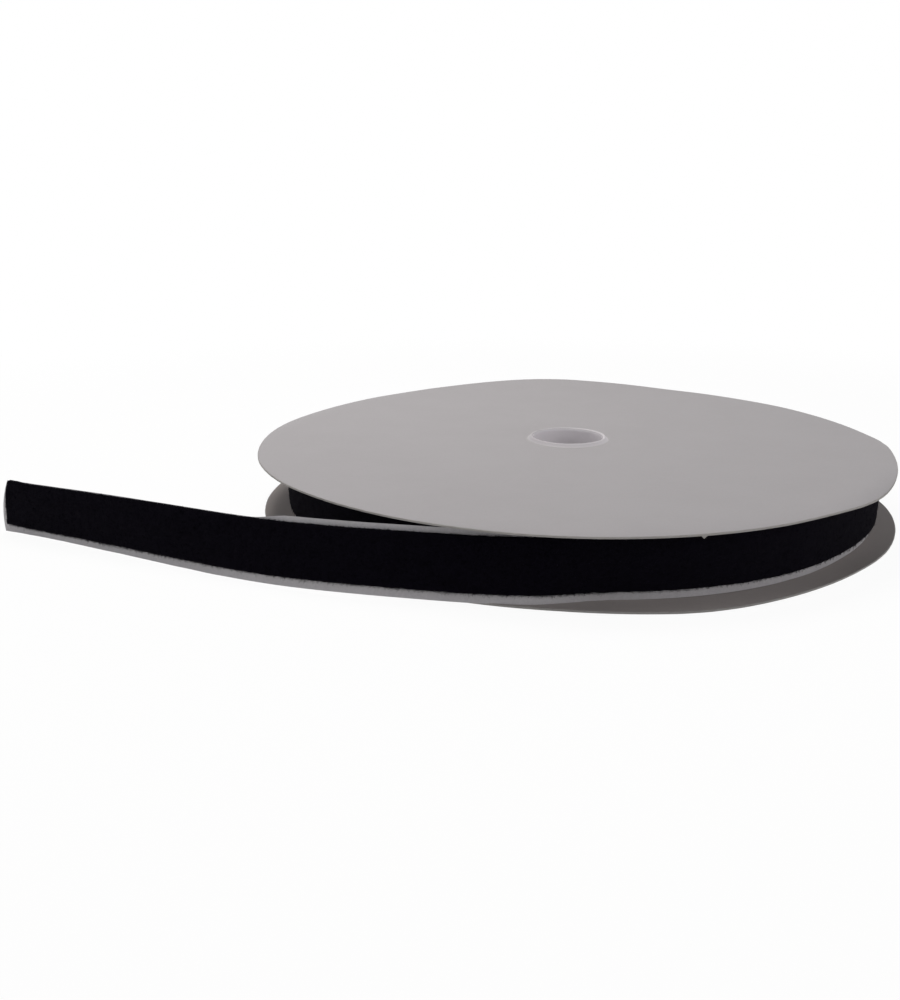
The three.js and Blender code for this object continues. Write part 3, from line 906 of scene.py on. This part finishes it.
def flange(name, base, card, seed, lifts, droops, off_centre=0.0):
    """A card disc with its warp and its rough cut edge."""
    def shape(radius, height, angle):
        rise = np.clip((radius - LIFT_START) / (FLANGE_RADIUS - LIFT_START), 0, 1) ** 2
        rim = np.clip((radius - DROOP_START) / (FLANGE_RADIUS - DROOP_START), 0, 1) ** 3
        height = height + rise * bumps(angle, lifts) - rim * bumps(angle, droops)
        rim_length = angle * FLANGE_RADIUS
        height = height + RIM_WAVE * rim * (1 + noise(rim_length, 0, RIM_WAVE_CELL, seed))
        at_edge = radius > FLANGE_RADIUS - CUT_BAND
        rough = CUT_ROUGH * noise(rim_length, height, CUT_ROUGH_CELL, seed + 1)
        outer = ((radius - HOLE_RADIUS) / (FLANGE_RADIUS - HOLE_RADIUS)) ** 2
        radius = radius + at_edge * (rough - CUT_SHY) + off_centre * np.cos(angle) * outer
        return radius, height

    outline, kinds = flange_outline(base)
    return turned(name, outline, FLANGE_STEPS, [card, CARD_EDGE], kinds, shape, CARD_SHARP)


# The hub's collar, out from the bore: a rounded crest, then a bell that falls to a thin brim on the flange.
# The photo shows the upper one a little prouder than the part's source has it.
HUB_STEPS = 144
COLLAR_PROUD = 0.4
COLLAR_CREST = 1.05
COLLAR_BELL = 0.97
COLLAR_REACH = 3.78
BRIM_SHARE = 0.1
BRIM_GAP = 0.01
CREST_POINTS, BELL_POINTS = 8, 13
SPIGOT_FILLET = 0.1
BORE_BREAK = 0.25
BORE_RING = 2.4


def collar_profile():
    """Distances out from the bore and the share of the collar's height there."""
    turn = np.linspace(0, math.pi / 2, CREST_POINTS)[:-1]
    crest = np.stack([COLLAR_CREST * (1 - np.cos(turn)), np.sin(turn)], axis=-1)
    past = np.linspace(0, COLLAR_REACH - COLLAR_CREST, BELL_POINTS)
    bell = (1 - BRIM_SHARE) * np.exp(-(past / COLLAR_BELL) ** 2) + BRIM_SHARE * (1 - past / past[-1])
    return np.vstack([crest, np.stack([COLLAR_CREST + past, bell], axis=-1)])


def hub_bush(name, upper):
    """A collar and its spigot, drawn as the lower one and turned over for the upper one."""
    foot = LOWER_FLANGE_BASE - BRIM_GAP
    crest = foot + (COLLAR_PROUD if upper else 0.0)
    spigot_end = (SPOOL_HEIGHT - SPIGOT_GAP) / 2
    outline = [(BORE_RADIUS + out, foot - crest * share) for out, share in collar_profile()] + [
        (SPIGOT_RADIUS + SPIGOT_FILLET, foot),
        (SPIGOT_RADIUS, foot + SPIGOT_FILLET),
        (SPIGOT_RADIUS, spigot_end - SPIGOT_LEAD),
        (SPIGOT_RADIUS - SPIGOT_LEAD, spigot_end),
        (BORE_RADIUS + BORE_BREAK, spigot_end),
        (BORE_RADIUS, spigot_end - BORE_BREAK),
        (BORE_RADIUS, spigot_end / 2),
        (BORE_RADIUS, BORE_RING),
    ]
    outline = np.array(outline)
    if upper:
        outline = (outline * (1, -1) + (0, SPOOL_HEIGHT))[::-1]
    kinds = np.zeros(len(outline), int)
    return turned(name, outline, HUB_STEPS, [PLASTIC], kinds, sharp=PLASTIC_SHARP)


# A torn tooth of card that hangs from the upper flange's edge: across the edge and down from it. It has two
# layers, each a distance out from the flange's radius and a share that it shrinks by, and it curls outwards.
TOOTH_ANGLE = math.radians(-71.3)
TOOTH_OUTLINE = (
    (-1.5, -0.3), (1.7, -0.3), (1.25, 0.08), (0.8, 0.3), (0.52, 0.62), (0.3, 0.68),
    (0.12, 0.95), (-0.12, 0.88), (-0.3, 0.55), (-0.55, 0.46), (-0.85, 0.12),
)
TOOTH_LAYERS = ((-0.42, 0.0), (-0.16, 0.12))
TOOTH_CURL = 0.12
TOOTH_REACH = math.radians(0.81)
TOOTH_BAND = 0.4


def rim_underside(flange_piece):
    """Height of the flange's lowest points at the tooth."""
    points = np.array([vertex.co for vertex in flange_piece.data.vertices]) / MM
    away = np.abs(np.arctan2(points[:, 1], points[:, 0]) - TOOTH_ANGLE)
    outer = np.hypot(points[:, 0], points[:, 1]) > FLANGE_RADIUS - TOOTH_BAND
    return points[(away < TOOTH_REACH) & outer, 2].min()


def torn_tooth(name, base):
    outline = np.array(TOOTH_OUTLINE)
    middle = outline.mean(axis=0)
    points = []
    for out, shrink in TOOTH_LAYERS:
        across, down = (outline + (middle - outline) * shrink).T
        radius = FLANGE_RADIUS + out + TOOTH_CURL * np.clip(down, 0, None)
        points.append(np.stack([
            radius * math.cos(TOOTH_ANGLE) - across * math.sin(TOOTH_ANGLE),
            radius * math.sin(TOOTH_ANGLE) + across * math.cos(TOOTH_ANGLE),
            base - down,
        ], axis=-1))
    corners = len(outline)
    sides = ring_faces(2, corners, False)[:, ::-1].tolist()
    faces = sides + [list(range(corners)), [corners + k for k in range(corners)][::-1]]
    return add_piece(name, np.vstack(points), faces, [CARD_EDGE], sharp=CARD_SHARP)


# Spool pieces
spool_pieces = []
upper_flange = flange(
    "upper_flange_card", UPPER_FLANGE_BASE, UPPER_CARD, seed=21, lifts=UPPER_LIFTS, droops=UPPER_DROOPS)
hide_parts("upper_flange")
tooth = torn_tooth("upper_flange_torn_tooth", rim_underside(upper_flange))
lower_flange = flange(
    "lower_flange_card_painted_shade", LOWER_FLANGE_BASE, LOWER_CARD_SHADED, seed=31, lifts=LOWER_LIFTS, droops=LOWER_DROOPS,
    off_centre=LOWER_OFF_CENTRE)
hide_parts("lower_flange")
upper_bush = hub_bush("upper_hub_moulding", True)
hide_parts("upper_hub_bush")
lower_bush = hub_bush("lower_hub_moulding", False)
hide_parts("lower_hub_bush")
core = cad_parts["core_tube"]
core.data.materials.clear()
core.data.materials.append(BOARD)
spool_pieces += [upper_flange, tooth, lower_flange, upper_bush, lower_bush]

# The turns under the outer one, as two strips wound from the core outwards
WOUND_STEP = 7.0


def wound_strip(name, low, high, front, back, material):
    outline = np.array([(low, back), (low, front), (high, front), (high, back)])
    start, end = -WOUND_TURNS * TURN_LENGTH, -TURN_LENGTH
    along = np.linspace(start, end, math.ceil((end - start) / WOUND_STEP) + 1)
    heights = np.tile(outline[:, 0], (len(along), 1))
    depths = np.tile(outline[:, 1], (len(along), 1))
    kinds = np.zeros(len(outline), int)
    return sweep(name, along, heights, depths, outline, [material], kinds, STRIP_SHARP)


wound_tape = wound_strip("wound_tape", TAPE_LOW, TAPE_HIGH, 0.0, BACK_DEPTH, PILE)
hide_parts("tape_pack")
wound_liner = wound_strip(
    "wound_liner", -LINER_WIDTH / 2, LINER_WIDTH / 2, LINER_DEPTH, LINER_BACK, LINER)
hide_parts("tape_pack")

# The outer turn
turn_tape = tape_pad("outer_turn_tape", -TURN_LENGTH, 0.0)
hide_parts("loop_tape_outer_turn")
turn_fibres = fibres("outer_turn_fibres", -TURN_LENGTH, 0.0, seed=5, on_face=FACE_FIBRES)
turn_fuzz = fibres("outer_turn_edge_fibres", -TURN_LENGTH, 0.0, seed=7, on_edges=TURN_FUZZ)
turn_liner = liner_strip("outer_turn_liner", -TURN_LENGTH, 0.0)
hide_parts("liner_outer_turn")
spool_pieces += [wound_tape, wound_liner, turn_tape, turn_fibres, turn_fuzz, turn_liner]
for piece in spool_pieces:
    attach(piece, "spool")


tail_tape = tape_pad("tail_tape", 0.0, TAIL_LENGTH)
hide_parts("loop_tape_tail")
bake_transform(tail_tape)
tail_fibres = fibres("tail_fibres", 0.0, TAIL_LENGTH, seed=6, on_face=FACE_FIBRES, on_end=END_FIBRES)
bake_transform(tail_fibres)
tail_fuzz = fibres("tail_edge_fibres", 0.0, TAIL_LENGTH, seed=8, on_edges=TAIL_FUZZ)
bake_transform(tail_fuzz)
tail_liner = liner_strip("tail_liner", 0.0, PEEL_START)
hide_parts("liner_tail")
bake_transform(tail_liner)
tail_tab = liner_strip("tail_liner_tab", PEEL_START, TAIL_LENGTH + LINER_OVERHANG, TAB_STEP)
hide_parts("liner_tab")
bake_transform(tail_tab)


# Floor, background and light
FLOOR_SIZE = 40.0
FLOOR_WHITE = 0.95
FLOOR_GREY = (0.8, 0.8, 0.8, 1)
WHITE = (1, 1, 1, 1)
SHADOW_FROM, SHADOW_TO = 0.3, 0.62
AMBIENT_COLOUR = (0.95, 0.97, 1.0, 1)
AMBIENT = 0.23
LAMP_AIM = (0.0, 0.0, 0.03)
KEY_PLACE = (-0.22, 0.16, 0.75)
KEY_SIZE = 0.4
KEY_POWER = 3.8
KEY_COLOUR = (1.0, 0.965, 0.935)
LEFT_PLACE = (-0.6, -0.5, 0.22)
LEFT_POWER = 0.8
RIGHT_PLACE = (0.62, -0.35, 0.22)
RIGHT_POWER = 1.05
FILL_SIZE = 0.4
FILL_COLOUR = (1.0, 0.98, 0.985)


def background_rays(tree):
    """1 for rays that show the background: seen straight, in a gloss or through glass."""
    path = tree.nodes.new("ShaderNodeLightPath")
    value = path.outputs["Is Camera Ray"]
    for name in ("Is Glossy Ray", "Is Transmission Ray"):
        larger = tree.nodes.new("ShaderNodeMath")
        larger.operation = "MAXIMUM"
        tree.links.new(value, larger.inputs[0])
        tree.links.new(path.outputs[name], larger.inputs[1])
        value = larger.outputs[0]
    return value


def make_floor():
    """A grey floor that shows as white: near the part a little of its shadow shows, and further off none."""
    half = FLOOR_SIZE / 2
    corners = [(-half, -half, 0), (half, -half, 0), (half, half, 0), (-half, half, 0)]
    mesh = bpy.data.meshes.new("floor")
    mesh.from_pydata(corners, [], [(0, 1, 2, 3)])
    floor = bpy.data.objects.new("floor", mesh)
    bpy.context.scene.collection.objects.link(floor)
    material = bpy.data.materials.new("floor")
    material.use_nodes = True
    mesh.materials.append(material)
    tree = material.node_tree
    tree.nodes.clear()
    output = tree.nodes.new("ShaderNodeOutputMaterial")
    plain = tree.nodes.new("ShaderNodeBsdfDiffuse")
    plain.inputs["Color"].default_value = FLOOR_GREY
    lit = tree.nodes.new("ShaderNodeBsdfDiffuse")
    lit.inputs["Color"].default_value = WHITE
    white = tree.nodes.new("ShaderNodeEmission")
    shown = tree.nodes.new("ShaderNodeMixShader")
    both = tree.nodes.new("ShaderNodeMixShader")
    place = tree.nodes.new("ShaderNodeTexCoord")
    distance = tree.nodes.new("ShaderNodeVectorMath")
    distance.operation = "LENGTH"
    fade = tree.nodes.new("ShaderNodeMapRange")
    fade.interpolation_type = "SMOOTHSTEP"
    for name, value in zip(("From Min", "From Max", "To Min"), (SHADOW_FROM, SHADOW_TO, FLOOR_WHITE)):
        fade.inputs[name].default_value = value
    tree.links.new(place.outputs["Object"], distance.inputs[0])
    tree.links.new(distance.outputs["Value"], fade.inputs["Value"])
    tree.links.new(fade.outputs[0], shown.inputs[0])
    tree.links.new(lit.outputs[0], shown.inputs[1])
    tree.links.new(white.outputs[0], shown.inputs[2])
    tree.links.new(background_rays(tree), both.inputs[0])
    tree.links.new(plain.outputs[0], both.inputs[1])
    tree.links.new(shown.outputs[0], both.inputs[2])
    tree.links.new(both.outputs[0], output.inputs["Surface"])


def make_world():
    world = bpy.data.worlds.new("studio")
    bpy.context.scene.world = world
    world.use_nodes = True
    tree = world.node_tree
    tree.nodes.clear()
    output = tree.nodes.new("ShaderNodeOutputWorld")
    ambient = tree.nodes.new("ShaderNodeBackground")
    ambient.inputs["Color"].default_value = AMBIENT_COLOUR
    ambient.inputs["Strength"].default_value = AMBIENT
    white = tree.nodes.new("ShaderNodeBackground")
    white.inputs["Color"].default_value = WHITE
    both = tree.nodes.new("ShaderNodeMixShader")
    tree.links.new(background_rays(tree), both.inputs[0])
    tree.links.new(ambient.outputs[0], both.inputs[1])
    tree.links.new(white.outputs[0], both.inputs[2])
    tree.links.new(both.outputs[0], output.inputs["Surface"])


def make_lamp(name, place, size, power, colour):
    data = bpy.data.lights.new(name, "AREA")
    data.shape = "DISK"
    data.size = size
    data.energy = power
    data.color = colour
    lamp = bpy.data.objects.new(name, data)
    bpy.context.scene.collection.objects.link(lamp)
    lamp.location = place
    aim = Vector(LAMP_AIM) - lamp.location
    lamp.rotation_euler = aim.to_track_quat("-Z", "Y").to_euler()


make_floor()
make_world()
make_lamp("key", KEY_PLACE, KEY_SIZE, KEY_POWER, KEY_COLOUR)
make_lamp("left_fill", LEFT_PLACE, FILL_SIZE, LEFT_POWER, FILL_COLOUR)
make_lamp("right_fill", RIGHT_PLACE, FILL_SIZE, RIGHT_POWER, FILL_COLOUR)
bpy.context.scene.view_settings.view_transform = "Standard"
